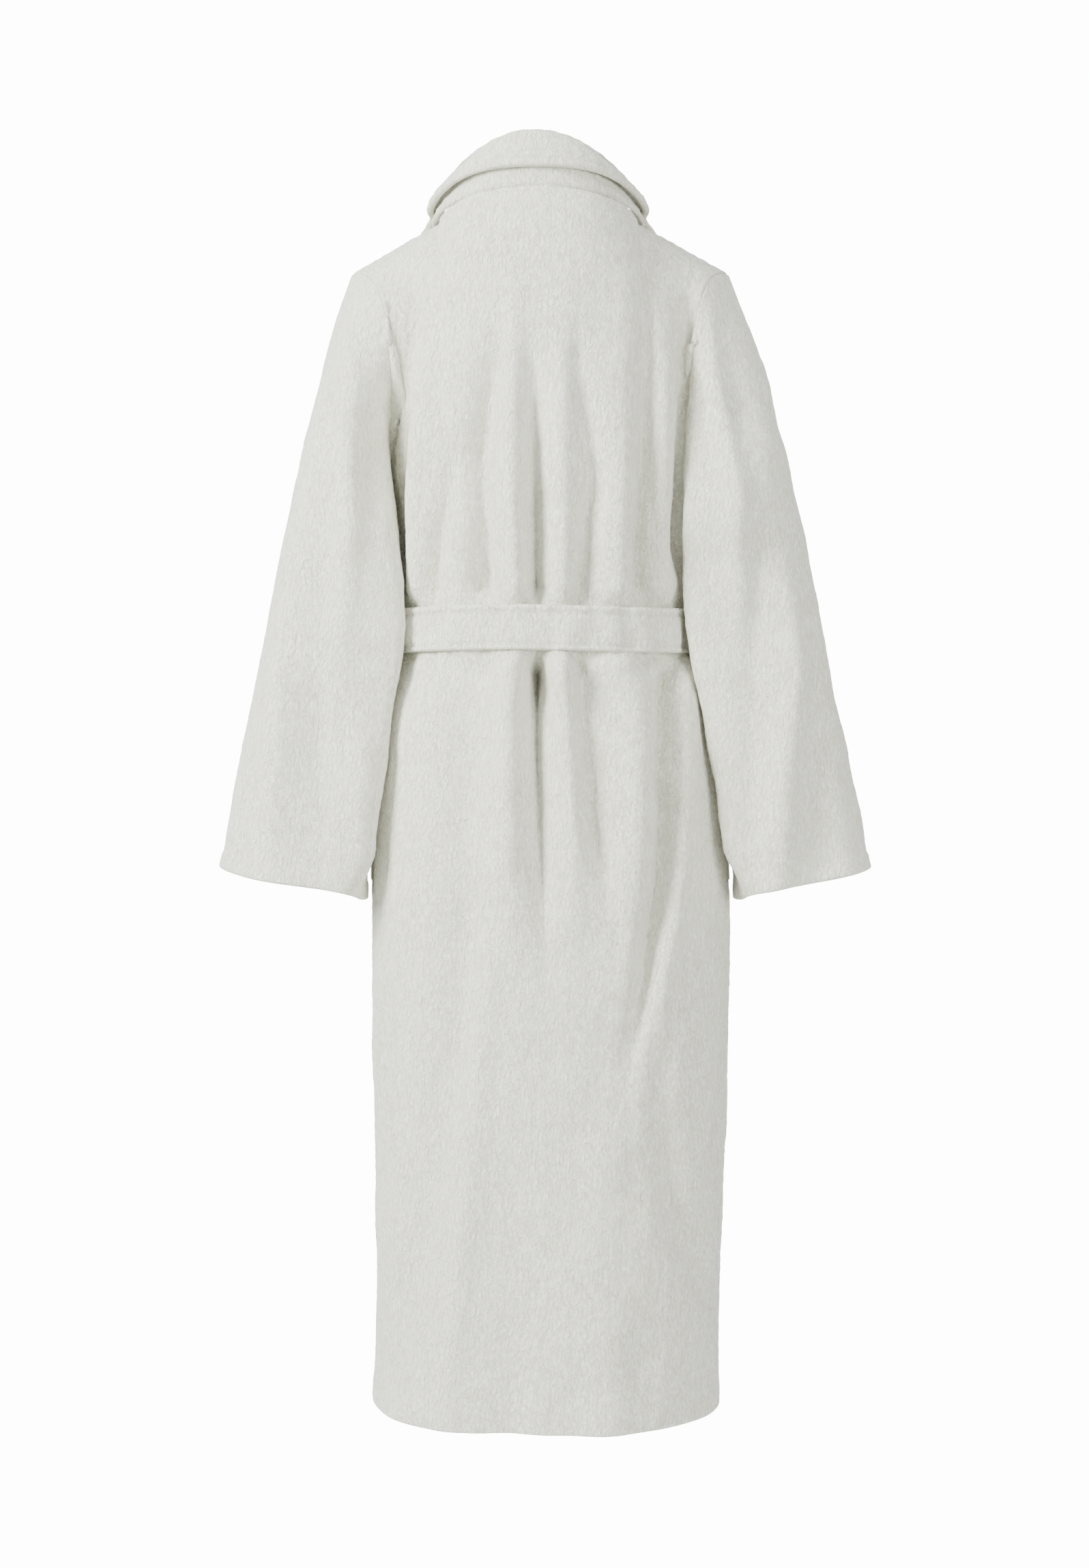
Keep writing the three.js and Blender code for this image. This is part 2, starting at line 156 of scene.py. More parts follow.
# ---- Back panel ----
# One width of heavy coral fleece from side seam to side seam, with a turned and stitched hem.
# It falls from the shoulders, is drawn in by the belt, and stands in soft upright folds.
CLOTH = 4.0
HIP_UP, BELT_UP, BELT_WIDTH, UNDERARM_UP = 486.0, 750.0, 44.0, 925.0
TIP_UP = UNDERARM_UP + 205
BELT_MID = BELT_UP + BELT_WIDTH / 2
WIDTH = (170.0, 179.0, 164.0, 140.0)  # half widths at hem, hip and chest, and at the waist
BACK = (124.0, 120.0, 112.0, 104.0)
FRONT = (118.0, 114.0, 112.0, 100.0)
SHOULDER_HALF, NECK_HALF = 188.0, 98.0
NECK_BACK, NECK_FRONT, NECK_RISE, NECK_DROP = 80.0, 70.0, 23.0, 70.0
SHOULDER_FORWARD, NECK_SHARE = 5.0, 0.42
HEM_BAND = 24.0
GRID = 4.2


def mix(a, b, t):
    return a + (b - a) * t


def ease(t):
    t = np.clip(t, 0, 1)
    return t * t * (3 - 2 * t)


def half(size, z):
    """Half a width or depth of the robe at a height."""
    hem, hip, chest, waist = size
    full = np.where(z < HIP_UP, mix(hem, hip, ease(z / HIP_UP)),
                    mix(hip, chest, ease((z - HIP_UP) / (UNDERARM_UP - HIP_UP))))
    away = np.maximum(0, np.abs(z - BELT_MID) - BELT_WIDTH / 2)
    return full - (full - waist) * np.exp(-away / np.where(z < BELT_MID, 55, 95))


def top_edge(across, facing):
    """The shoulder seam and the neck seam, for a share across the half panel."""
    a, side = np.abs(across), np.sign(across)
    seam = SHOULDER_FORWARD - (0 if facing > 0 else 0.5)
    t = (a - NECK_SHARE) / (1 - NECK_SHARE)
    turn = np.clip(a / NECK_SHARE, 0, 1) * math.pi / 2
    inward = np.cos(turn) if facing > 0 else np.cos(turn) ** 2
    depth, rise = (NECK_BACK, NECK_RISE) if facing > 0 else (NECK_FRONT, -NECK_DROP)
    shoulder = a >= NECK_SHARE
    x = side * np.where(shoulder, mix(NECK_HALF, SHOULDER_HALF, t), NECK_HALF * np.sin(turn))
    y = np.where(shoulder, seam, seam + facing * depth * inward)
    z = np.where(shoulder, mix(NECK_UP, TIP_UP, t), NECK_UP + rise * inward)
    return x, y, z


def body(across, up, facing, lift):
    """A point of the robe: across -1 to 1, up 0 at the hem, 1 underarm and 2 at the shoulder."""
    across, up, lift = np.broadcast_arrays(np.float64(across), np.float64(up), np.float64(lift))
    z = np.minimum(up, 1) * UNDERARM_UP
    sin = np.sin(across * math.pi / 2)
    wide = half(WIDTH, z) + lift
    deep = half(BACK if facing > 0 else FRONT, z) + lift
    plan = np.clip(1 - np.abs(sin) ** 2.4, 0, 1) ** (1 / 2.4)
    w = np.clip(up - 1, 0, 1)
    x_top, y_top, z_top = top_edge(across, facing)
    bend = np.sin(w * math.pi)
    edge = across ** 4
    above = up > 1
    x = np.where(above, mix(wide * sin, x_top, w) - np.sign(across) * 23 * bend * edge, wide * sin)
    y = np.where(above, y_top + (facing * deep * plan - y_top) * np.clip(np.cos(w * math.pi / 2), 0, 1) ** 0.8
                 + facing * (57 + lift) * bend * edge, facing * deep * plan)
    z = np.where(above, mix(z, z_top + lift, np.sin(w * math.pi / 2)), z)
    return np.stack([x, y, z], -1)


def fold(x, up, path, depth, left, right):
    """The rise of one soft fold. Its path is (x, height, strength) from low to high. It falls away
    over left and right millimetres on its two sides."""
    heights = [p[1] for p in path]
    middle = np.interp(up, heights, [p[0] for p in path])
    strength = np.interp(up, heights, [p[2] for p in path])
    strength = strength * ease(1 - (heights[0] - up) / 60) * ease(1 - (up - heights[-1]) / 60)
    off = x - middle
    return depth * strength * np.exp(-(off / np.where(off > 0, left, right)) ** 2)


def facing_out(points, ring):
    """Unit normals of a grid of points."""
    if ring:
        along = np.roll(points, -1, 1) - np.roll(points, 1, 1)
    else:
        along = np.gradient(points, axis=1)
    normal = np.cross(along, np.gradient(points, axis=0))
    return normal / np.maximum(np.linalg.norm(normal, axis=2, keepdims=True), 1e-9)


def curls(points, size, seed):
    """A lumpy field about 1 high, of upright curls of pile about size across."""
    draw = np.random.default_rng(seed)
    total = np.zeros(points.shape[:-1])
    for _ in range(14):
        wave = draw.normal(size=3) * (1, 1, 0.6)
        wave *= 2 * math.pi / (size * draw.uniform(0.8, 1.6)) / np.linalg.norm(wave)
        total += np.sin(points @ wave + draw.uniform(0, 6.3))
    return total / 14 ** 0.5


def cloth(name, points, thick, ring=False, rim=None, outward=None, pile=0.45, material=None):
    """A closed piece of cloth. points is the grid of its middle surface, rows upwards, and thick its
    thickness. The edges are rounded over rim. outward is +1 or -1. Returns the piece and its outer grid."""
    rows, columns = points.shape[:2]
    normal = facing_out(points, ring) * outward
    thick = np.broadcast_to(np.float64(thick), (rows, columns)).copy()
    rim = thick.mean() / 2 if rim is None else rim
    steps = np.linalg.norm(np.diff(points, axis=0), axis=2)
    low = np.vstack([np.zeros(columns), np.cumsum(steps, 0)])
    away = np.minimum(low, low[-1] - low)
    if not ring:
        steps = np.linalg.norm(np.diff(points, axis=1), axis=2)
        side = np.hstack([np.zeros((rows, 1)), np.cumsum(steps, 1)])
        away = np.minimum(away, np.minimum(side, side[:, -1:] - side))
    thick *= np.sqrt(np.clip(1 - (1 - np.clip(away / rim, 0, 1)) ** 2, 0.02, 1))
    lumps = pile * curls(points, 9.0, 5) * np.clip(away / 6, 0.3, 1)
    outer = points + normal * (thick / 2 + lumps)[..., None]
    inner = points - normal * (thick / 2 - lumps * 0.7)[..., None]
    count = rows * columns
    i, j = np.meshgrid(np.arange(columns if ring else columns - 1), np.arange(rows - 1))
    i, j = i.ravel(), j.ravel()
    k = (i + 1) % columns
    a, b, c, d = j * columns + i, j * columns + k, (j + 1) * columns + k, (j + 1) * columns + i
    quads = [np.stack([a, b, c, d], 1), np.stack([a, d, c, b], 1) + count]
    e = np.arange(columns if ring else columns - 1)
    f = (e + 1) % columns
    last = (rows - 1) * columns
    quads.append(np.stack([e, e + count, f + count, f], 1))
    quads.append(np.stack([last + f, last + f + count, last + e + count, last + e], 1))
    if not ring:
        g = np.arange(rows - 1) * columns
        quads.append(np.stack([g + columns, g + columns + count, g + count, g], 1))
        g = g + columns - 1
        quads.append(np.stack([g, g + count, g + columns + count, g + columns], 1))
    quads = np.vstack(quads)
    if outward < 0:
        quads = quads[:, ::-1]
    mesh = bpy.data.meshes.new(name)
    vertices = settle(np.vstack([outer.reshape(-1, 3), inner.reshape(-1, 3)])) / 1000 - (0, 0, HANGER)
    mesh.from_pydata(vertices.tolist(), [], quads.tolist())
    mesh.polygons.foreach_set("use_smooth", [True] * len(mesh.polygons))
    mesh.update()
    piece = bpy.data.objects.new(name, mesh)
    bpy.context.scene.collection.objects.link(piece)
    mesh.materials.append(material)
    return piece, outer


def settle(points):
    """The whole robe hangs a little unevenly: the collar sits to the wearer's left, the skirt to
    the right, and the skirt is a touch slimmer than its cut."""
    x, up = points[:, 0], points[:, 2]
    lean = np.interp(up, [0, 120, 300, 486, 700, 900, 1100, 1180, 1260], [-1, -4, -6, -6.5, -2, 0, 3, 6, 9])
    slim = np.interp(up, [0, 150, 500, 640, 750], [1, 0.985, 0.985, 0.995, 1])
    kept = 1 - ease((np.abs(x) - 195) / 90)
    moved = points.copy()
    moved[:, 0] = x * (1 - (1 - slim) * kept) + lean * kept
    return moved


def levels(low, high, step):
    """Rows for a panel, up 0 to 2, closer together along its two edges."""
    edge = np.array([0, 0.5, 1.3, 2.4]) / UNDERARM_UP
    whole = np.linspace(low, min(high, 1), max(2, int((min(high, 1) - low) * UNDERARM_UP / step)))
    if high > 1:
        whole = np.hstack([whole, 1 + np.linspace(0, high - 1, int(310 * (high - 1) / step))[1:]])
    return np.unique(np.hstack([low + edge, whole[1:-1], high - edge]))


def columns_between(low, high, step, length):
    """Columns for a panel, closer together along its two side edges."""
    edge = np.array([0, 0.5, 1.3, 2.4]) / length
    whole = np.linspace(low, high, int((high - low) * length / step))
    return np.unique(np.hstack([low + edge, whole[1:-1], high - edge]))


# Coral fleece: short curled polyester pile, brushed up after knitting. The pile breaks the light,
# so it shows no gloss, only a soft bloom at grazing angles, and small shadows between curls, painted as shade.
PILE_CURL = 3.0  # mm, one curl
PILE_LOCK = 8.0  # mm, a group of curls that leans one way
PILE_PATCH = 1000 / 14.0  # mm, a faint change of tint
plush, plush_out = new_material("coral_fleece_brushed")
tree = plush.node_tree
where = add_node(tree, "ShaderNodeTexCoord")
upright = add_node(tree, "ShaderNodeMapping", {"Scale": (1, 1, 0.55)}, {0: where.outputs["Object"]})
curl = add_node(tree, "ShaderNodeTexNoise",
                {"Scale": 1000 / PILE_CURL, "Detail": 4.0, "Roughness": 0.62, "Distortion": 0.6},
                {"Vector": upright.outputs[0]})
lock = add_node(tree, "ShaderNodeTexNoise", {"Scale": 1000 / PILE_LOCK, "Detail": 2.0, "Distortion": 0.4},
                {"Vector": upright.outputs[0]})
patch = add_node(tree, "ShaderNodeTexNoise", {"Scale": 1000 / PILE_PATCH, "Detail": 2.0},
                 {"Vector": where.outputs["Object"]})
both = add_node(tree, "ShaderNodeMath", {1: 0.45}, {0: lock.outputs["Fac"]}, operation="MULTIPLY")
height = add_node(tree, "ShaderNodeMath", {}, {0: curl.outputs["Fac"], 1: both.outputs[0]}, operation="ADD")
# Painted shade: the colour darkens to olive where the curl height is low, in the hollows between curls.
curl_shade_ramp = add_node(tree, "ShaderNodeMapRange", {"From Min": 0.5, "From Max": 0.86}, {0: height.outputs[0]})
painted_curl_shade = add_node(tree, "ShaderNodeMix", {6: linear("#cbc9ae"), 7: linear("#fbfbf1")},
                  {0: curl_shade_ramp.outputs[0]}, data_type="RGBA")
tinted = add_node(tree, "ShaderNodeMix", {7: linear("#f2f2e2")},
                  {6: painted_curl_shade.outputs[2], 0: patch.outputs["Fac"]}, data_type="RGBA")
bump = add_node(tree, "ShaderNodeBump", {"Strength": 1.0, "Distance": 0.0042}, {"Height": height.outputs[0]})
shader = add_node(tree, "ShaderNodeBsdfPrincipled",
                  {"Roughness": 0.95, "Specular IOR Level": 0.12,
                   "Sheen Weight": 0.35, "Sheen Roughness": 0.55},
                  {"Base Color": tinted.outputs[2], "Normal": bump.outputs[0]})
tree.links.new(shader.outputs[0], plush_out.inputs[0])

FOLD_DEPTH = 2.3
# Under the collar the neck seam pulls the back in a little.
YOKE_HIGH, NECK_GROOVE, NECK_GROOVE_DOWN, NECK_GROOVE_WIDE = 250, 3.2, 9, 6
BACK_FOLDS = [
    # above the belt, from the middle to the left, then to the right
    ([(9, 740, 1), (9, 884, 1), (9, 941, 0.8), (9, 1000, 0.3)], -9, 9, 9),
    ([(26, 740, 1), (30, 900, 1), (30, 1000, 0.7), (28, 1087, 0.2)], 5, 11, 9),
    ([(-16, 740, 1), (-17, 900, 1), (-17, 1028, 0.3)], 4.5, 9, 11),
    ([(56, 770, 1), (61, 941, 0.9), (48, 1010, 0.6), (39, 1060, 0.2)], -8, 16, 10),
    ([(-27, 770, 1), (-41, 865, 1), (-49, 919, 0.8), (-34, 1017, 0.3)], -6, 8, 10),
    ([(-70, 770, 1), (-75, 900, 1), (-78, 1000, 0.3)], 5, 20, 18),
    ([(-97, 770, 1), (-95, 865, 1), (-102, 926, 0.9), (-104, 984, 0.7), (-106, 1054, 0.3)], -9, 14, 5),
    ([(-113, 770, 1), (-115, 900, 0.8), (-118, 1010, 0.3)], 3, 6, 10),
    ([(115, 790, 0.8), (103, 865, 1), (91, 919, 0.5)], -5, 8, 12),
    ([(124, 770, 0.8), (128, 900, 1), (118, 1000, 0.5)], 4, 12, 12),
    ([(150, 811, 0.7), (149, 900, 1), (145, 1000, 1), (128, 1080, 0.6)], -8, 13, 14),
    ([(-134, 865, 1), (-139, 930, 1), (-143, 987, 1), (-144, 1065, 0.4)], -9, 10, 8),
]
SKIRT_FOLDS = [
    # below the belt, from the middle to the left, then to the right
    ([(5, 448, 0.1), (9.5, 548, 0.6), (10.5, 648, 1), (9, 760, 1)], -10, 8, 8),
    ([(37, 478, 0.3), (39, 599, 0.9), (34, 760, 1)], 6, 16, 11),
    ([(-22, 470, 0.2), (-22, 548, 0.6), (-21, 623, 1), (-13, 760, 1)], 6, 10, 14),
    ([(-33, 722, 0.2), (-34, 760, 1)], -4, 5, 7),
    ([(-62, 480, 0.2), (-50, 551, 0.6), (-38, 599, 0.8), (-33, 690, 0.5), (-33, 760, 0.5)], -5, 8, 10),
    ([(-80, 430, 0.2), (-85, 575, 1), (-85, 673, 1), (-80, 760, 0.3)], 6, 24, 22),
    ([(-76, 337, 0.1), (-94, 425, 0.7), (-101, 473, 0.9), (-111, 523, 1), (-119, 599, 1),
      (-114, 624, 1), (-123, 711, 0.9), (-124, 760, 0.6)], -10, 14, 5),
    ([(-108, 420, 0.5), (-126, 540, 0.9), (-132, 640, 1), (-138, 740, 0.6)], 4, 6, 14),
    ([(155, 50, 0.8), (116, 244, 1), (113, 288, 1), (89, 398, 1), (78, 498, 1), (78, 699, 0.6)], -5, 22, 22),
    ([(95, 40, 0.7), (80, 250, 0.8), (65, 420, 0.8), (59, 560, 0.4)], 3.5, 14, 14),
    ([(37, 0, 1), (37, 220, 0.5)], -3, 28, 28),
    ([(-160, 100, 0.5), (-153, 135, 1), (-117, 220, 1), (-108, 330, 0.4)], -4.5, 14, 14),
    ([(-60, 0, 0.8), (-50, 260, 0.5)], 3, 26, 26),
]


def gathers(x, up, depth):
    """Small pleats that the belt draws in, gone a few centimetres from it."""
    away = np.maximum(0, np.abs(up - BELT_MID) - BELT_WIDTH / 2)
    wave = np.sin(x / 3.1 + 0.8) + 0.8 * np.sin(x / 4.7 + 2.0) + 0.6 * np.sin(x / 2.2)
    return depth * wave * np.exp(-away / 20) * ease(away / 5 + 0.2)


def under_belt(up):
    """The share of a fold that is left where the belt presses the cloth flat."""
    return 1 - 0.75 * ease(1 - (np.abs(up - BELT_MID) - BELT_WIDTH / 2) / 18)


def hem_band(up):
    """The double cloth of a turned hem, with the groove of its stitches."""
    return 2.0 * ease((HEM_BAND + 3 - up) / 5) - 1.6 * np.exp(-((up - HEM_BAND + 4) / 1.8) ** 2)


u = columns_between(-1, 1, GRID, 240)
v = levels(0, 2, GRID)
across, up = np.meshgrid(u, v)
surface = body(across, up, 1, CLOTH / 2)
normal = facing_out(surface, False)
x, z = surface[..., 0], surface[..., 2]
rise = FOLD_DEPTH * (sum(fold(x, z, *f) for f in BACK_FOLDS) + sum(fold(x, z, *f) for f in SKIRT_FOLDS))
rise = rise * under_belt(z) + gathers(x, z, 0.7)
rise *= ease((1 - np.abs(across)) / 0.04) * ease((NECK_UP - 20 - z) / 60)
soft = ease((1 - np.abs(across)) / 0.1) * ease((1.85 - up) / 0.3)
rise += 1.0 * curls(surface, 60.0, 11) * soft * under_belt(z)
below_neck = (2 - up) * YOKE_HIGH
groove = np.exp(-((below_neck - NECK_GROOVE_DOWN) / NECK_GROOVE_WIDE) ** 2)
rise -= NECK_GROOVE * groove * ease((NECK_SHARE + 0.03 - np.abs(across)) / 0.08)
surface = surface - normal * rise[..., None]
back, back_outer = cloth("back", surface, CLOTH + hem_band(z), outward=-1, material=plush)
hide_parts("back_panel")
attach(back, "robe")

# ---- Fronts ----
# Two widths that wrap past the middle, the wearer's left over the right, cut away to the neck and
# sewn to the back at shoulders and sides. Their long edges are turned in like the hem.
WRAP, OVER_RUN = 95.0, 0.45
LAY_GAP, LAPEL = 1.6, 5.0
LAPEL_LOW = CLOTH + LAY_GAP
OVER = LAPEL_LOW + LAPEL + LAY_GAP
FRONT_FOLDS = [
    # heights above the hem; the first six hang from the belt, the rest rise over it
    ([(150, 60, 0.4), (128, 400, 0.8), (104, 760, 1)], -6, 14, 12),
    ([(112, 60, 0.5), (96, 420, 0.8), (78, 760, 0.8)], 4, 14, 14),
    ([(66, 300, 0.2), (54, 560, 0.8), (44, 760, 1)], -5, 9, 12),
    ([(-150, 80, 0.4), (-126, 420, 0.8), (-100, 760, 1)], -6, 12, 14),
    ([(-112, 60, 0.5), (-98, 420, 0.8), (-80, 760, 0.8)], 4, 14, 14),
    ([(-40, 60, 0.3), (-52, 480, 0.6), (-50, 760, 1)], -5, 12, 9),
    ([(112, 770, 1), (122, 900, 0.8), (138, 1020, 0.4)], -5, 12, 9),
    ([(84, 770, 1), (90, 860, 0.6), (104, 940, 0.2)], -4, 8, 8),
    ([(-112, 770, 1), (-124, 900, 0.8), (-140, 1020, 0.4)], -5, 9, 12),
    ([(-84, 770, 1), (-88, 860, 0.6), (-100, 940, 0.2)], -4, 8, 8),
]


def front_edge(up):
    """The share across at which a front ends, past the middle."""
    z = np.minimum(up, 1) * UNDERARM_UP
    top = BELT_UP + BELT_WIDTH
    x = -WRAP + np.maximum(0, z - top) * (NECK_HALF + WRAP) / (NECK_UP - top)
    low = np.arcsin(np.clip(x / half(WIDTH, z), -1, 1)) / (math.pi / 2)
    return np.where(up <= 1, low, mix(low, NECK_SHARE, np.sin(np.clip(up - 1, 0, 1) * math.pi / 2)))


def overlap(side, across, up):
    """How far a front is lifted where it lies over the other one."""
    if side < 0:
        return 0 * (across + up)
    return OVER * ease((OVER_RUN - front_edge(up) - across) / (OVER_RUN - 0.05))


def front_rise(points):
    """Folds of the fronts, kept off the lapels and the shoulders."""
    x, z = points[..., 0], points[..., 2]
    rise = sum(fold(x, z, *f) for f in FRONT_FOLDS) * under_belt(z) + gathers(x, z, 0.5)
    return rise * ease((NECK_UP - 60 - z) / 80) * ease((half(WIDTH, z) - np.abs(x)) / 9)


front_outer = {}
for name, side in (("front_left", 1), ("front_right", -1)):
    share = columns_between(0, 1, GRID, 350)
    v = levels(0, 2, GRID)
    s, up = np.meshgrid(share, v)
    across = mix(front_edge(up), 1, s)
    surface = body(side * across, up, -1, overlap(side, across, up) + CLOTH / 2)
    normal = facing_out(surface, False) * side
    rise = front_rise(surface) * (1 if side > 0 else 0.55) * ease((s - 0.02) / 0.3)
    surface = surface + normal * rise[..., None]
    z = surface[..., 2]
    piece, outer = cloth(name, surface, CLOTH + hem_band(z) * 0.6, outward=side, material=plush)
    front_outer[side] = outer
    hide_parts(name.replace("front", "front_panel"))
    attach(piece, "robe")

# ---- Sleeves ----
# Each is one width sewn into a tube, set into the armhole and hemmed at the wrist. It hangs
# a little behind the side seam, and its upper part creases where the arm would come down.
CUFF_UP, CUFF_TILT, CUFF_OUT, FLARE = 504.0, 32.0, 326.0, 0.202
SLEEVE_HEM = 20.0
SLEEVE_FOLDS = {
    1: [([(196, 790, 0.4), (190, 866, 1), (192, 943, 1), (188, 1026, 0.7)], -7, 12, 12),
        ([(268, 540, 0.7), (262, 650, 1), (258, 752, 1), (240, 880, 0.3)], -4.5, 16, 14),
        ([(226, 540, 0.8), (222, 700, 1), (214, 860, 0.5)], 3.5, 15, 15),
        ([(300, 560, 0.6), (280, 700, 0.6)], 2.5, 14, 14),
        ([(188, 560, 0.7), (180, 660, 0.6)], -3, 12, 10)],
    -1: [([(-190, 800, 0.5), (-186, 900, 0.8), (-168, 1010, 1), (-160, 1069, 0.6)], -6, 12, 12),
         ([(-222, 520, 0.9), (-232, 640, 1), (-246, 733, 1), (-238, 860, 0.3)], -6, 12, 16),
         ([(-268, 540, 0.8), (-262, 700, 1), (-240, 880, 0.4)], 4, 16, 16),
         ([(-200, 600, 0.8), (-204, 760, 1), (-206, 880, 0.5)], 3.5, 14, 14)],
}


# The line that the inner edge of each sleeve follows, heights and distances from the middle. It
# lies close behind the side of the robe, and on the right it laps over the back.
INNER_EDGE = {
    1: ((504, 572, 621, 674, 727, 777, 822, 848, 880, 911),
        (176, 172, 166, 156, 146, 139, 138, 144, 153, 160)),
    -1: ((504, 572, 621, 674, 727, 777, 822, 867, 930, 1000, 1065),
         (176, 172, 166, 156, 147, 140, 137, 135, 137, 142, 148)),
}
TUCK_TOP = {1: 930, -1: 1080}
TUCK_OUT = {1: 0, -1: 20}
ROOT_RUN = {1: 0.28, -1: 0.2}
TUCK_AT, TUCK_WIDE = 0.15, 0.11  # shares of the way round, from the underarm towards the back
TUCK_AT_HEM, TUCK_FULL_UP, TUCK_FADE = 0.5, 505, 55
TUCK_OUT_UP = 830
HEM_TUCK_WIDE = 0.06


def round_from_tuck(around):
    """How far round the sleeve a point lies from the middle of the tuck, either way."""
    return (around - TUCK_AT + 0.5) % 1 - 0.5


def sleeve(around, along, side):
    """The middle surface of a sleeve. around: 0 underarm, a half the outer edge. along: 0 to 1."""
    z_out = mix(TIP_UP, CUFF_UP + CUFF_TILT, along)
    z_in = mix(UNDERARM_UP, CUFF_UP, along)
    x_out = CUFF_OUT - (z_out - CUFF_UP - CUFF_TILT) * FLARE - 20 * np.exp((z_out - TIP_UP) / 28)
    x_in = half(WIDTH, z_in) + CLOTH + 5 + 8.1 * np.exp(-((z_in - BELT_MID) / BELT_WIDTH) ** 2)
    reach = -np.cos(around * 2 * math.pi)
    deep = (mix(57, 64, along) - CLOTH / 2) * np.sin(around * 2 * math.pi)
    x = (x_out + x_in) / 2 + ((x_out - x_in) / 2 - CLOTH / 2) * reach
    z = (z_out + z_in) / 2 + (z_out - z_in) / 2 * reach - (1 - along) * reach * CLOTH / 2
    tube = np.stack([x, deep + 26 * ease(along / 0.35), z], -1)
    rear = around <= 0.5
    rising = 1 + np.where(rear, 2 * around, 2 - 2 * around)
    height = tube[..., 2]
    edge = np.interp(height, *INNER_EDGE[side])
    tuck = np.exp(-(round_from_tuck(around) / TUCK_WIDE) ** 2)
    tuck = tuck * ease((TUCK_TOP[side] - height) / 60)
    tuck = tuck * mix(TUCK_AT_HEM, 1, ease((height - TUCK_FULL_UP) / TUCK_FADE))
    tube[..., 0] -= np.maximum(0, tube[..., 0] - edge) * tuck
    tube[..., 1] += TUCK_OUT[side] * tuck * ease((height - TUCK_OUT_UP) / 60)
    root = np.where(rear[..., None], body(1.0, rising, 1, CLOTH / 2), body(1.0, rising, -1, CLOTH / 2))
    return mix(root, tube, ease(along / ROOT_RUN[side])[..., None]) * (side, 1, 1)


sleeve_outer = {}
for name, side in (("sleeve_left_cloth", 1), ("sleeve_right_cloth", -1)):
    edge = np.array([0, 0.5, 1.3, 2.4]) / 520
    along = np.unique(np.hstack([edge, np.linspace(0, 1, 136)[1:-1], 1 - edge]))
    around, along = np.meshgrid(np.arange(112) / 112, along)
    surface = sleeve(around, along, side)
    normal = facing_out(surface, True) * -side
    x, z = surface[..., 0], surface[..., 2]
    rise = sum(fold(x, z, *f) for f in SLEEVE_FOLDS[side]) * np.clip(normal[..., 1] * 1.4, 0, 1)
    rise += sum(fold(x, z, *f) for f in SLEEVE_FOLDS[side]) * np.clip(-normal[..., 1] * 1.2, 0, 1) * 0.7
    rise += 0.7 * curls(surface, 80.0, 21 + side)
    rise *= FOLD_DEPTH * ease(along / 0.12)
    surface = surface + normal * rise[..., None]
    from_hem = (1 - along) * np.linalg.norm(np.diff(surface, axis=0), axis=2).sum(0)
    band = 2.6 * ease((SLEEVE_HEM + 3 - from_hem) / 5)
    band = band - 2.6 * np.exp(-((from_hem - SLEEVE_HEM + 2) / 1.8) ** 2)
    band *= 1 - 0.8 * np.exp(-(round_from_tuck(around) / HEM_TUCK_WIDE) ** 2)
    piece, outer = cloth(name, surface, CLOTH + band, ring=True, outward=-side, material=plush)
    sleeve_outer[side] = outer
    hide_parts(name.replace("_cloth", ""))
    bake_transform(piece)

# ---- Shawl collar ----
# One long folded piece, double cloth with a stitched edge. It stands round the back of the neck,
# rolls over on itself, and runs down both fronts as lapels to just below the belt.
STAND, SIDE_STAND, FALL, SIDE_FALL, SEAT = 52.0, 22.0, 36.0, 11.0, 9.0
LAPEL_END_UP, LAPEL_WIDTH, LAPEL_TIP = 700.0, 112.0, 34.0
ACROSS_MM = SHOULDER_HALF * 1.35
COLLAR_CLOTH = 5.6
TOPSTITCH = 8.0


def section(roll, high, wide, low, turn, foot, flare=0.0):
    """One cut through the collar: up the stand, over the roll and down the fall. Columns are
    millimetres outwards and upwards."""
    rise = np.linspace(foot, high - roll, 14)
    ribs = 0.35 * np.sin(rise * 2 * math.pi / 4.4)
    lean = flare * np.cos(np.linspace(0, math.pi / 2, 14)) ** 1.5
    stand = np.stack([-roll + ribs + lean, rise], -1)
    angle = np.linspace(math.pi, turn, 9)[1:]
    over = np.stack([roll * np.cos(angle), high - roll + roll * np.sin(angle)], -1)
    s = np.linspace(0, 1, 28)[1:, None]
    s = s + 0.08 * np.sin(s * math.pi) * (1 - s)
    fall = mix(over[-1], np.array([wide, low]), s) + np.array([1.0, 0.6]) * 2.2 * np.sin(s * math.pi)
    return np.vstack([stand, over, fall])


def neck_cut(t, side):
    cos, sin = math.cos(t * math.pi / 2), math.sin(t * math.pi / 2)
    spread = float(ease((t - 0.35) / 0.65))
    rise = mix(SIDE_STAND, NECK_RISE + STAND, cos * cos) - NECK_RISE * cos
    high = rise - COLLAR_CLOTH / 2
    wide = mix(8.5, SEAT, spread)
    low = high - mix(SIDE_FALL, FALL, cos ** 4)
    cut = section(mix(5.2, 4.6, t), high, wide, low, mix(0.1, math.pi / 5, spread), -6.0, 10.0)
    r = cut[:, 0] + mix(1.0, 2.0, t)
    z = NECK_UP + NECK_RISE * cos + LAPEL_LOW + cut[:, 1]
    return np.stack([side * (NECK_HALF + r) * sin, SHOULDER_FORWARD + (NECK_BACK + r) * cos, z], -1)


